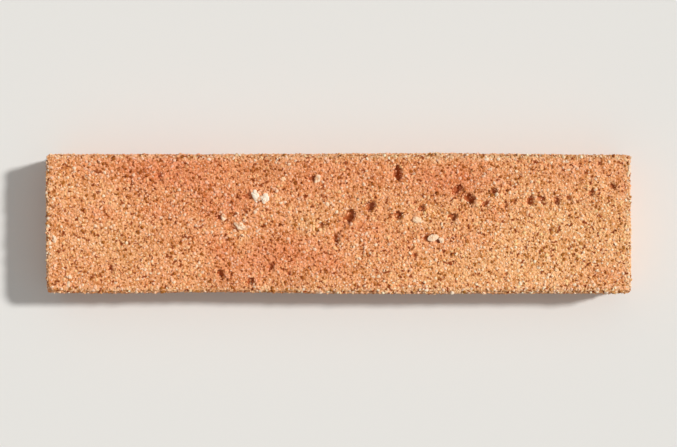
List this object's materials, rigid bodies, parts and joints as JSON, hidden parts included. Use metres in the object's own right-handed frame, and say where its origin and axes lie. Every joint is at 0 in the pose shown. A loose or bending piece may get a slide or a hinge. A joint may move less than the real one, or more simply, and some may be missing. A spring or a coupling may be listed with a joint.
{
  "type": "brick slip",
  "caption": "Thin oblong facing slip of sand-faced terracotta fired clay, sawn flat on its back, to be bedded on a wall in brick bond.",
  "frame": {"origin": "centre of the sawn back, which lies flat on the level floor", "axes": "+X along the slip's length, +Y up its face as it is laid in a wall, +Z from the sawn back to the sanded face"},
  "size_m": [0.21, 0.051, 0.02],
  "materials": {
    "fired_clay": "matt, sand-faced, fired terracotta orange with redder patches and pale grit"
  },
  "bodies": {
    "root": {"brick_slip": "fired_clay"}
  },
  "joints": []
}
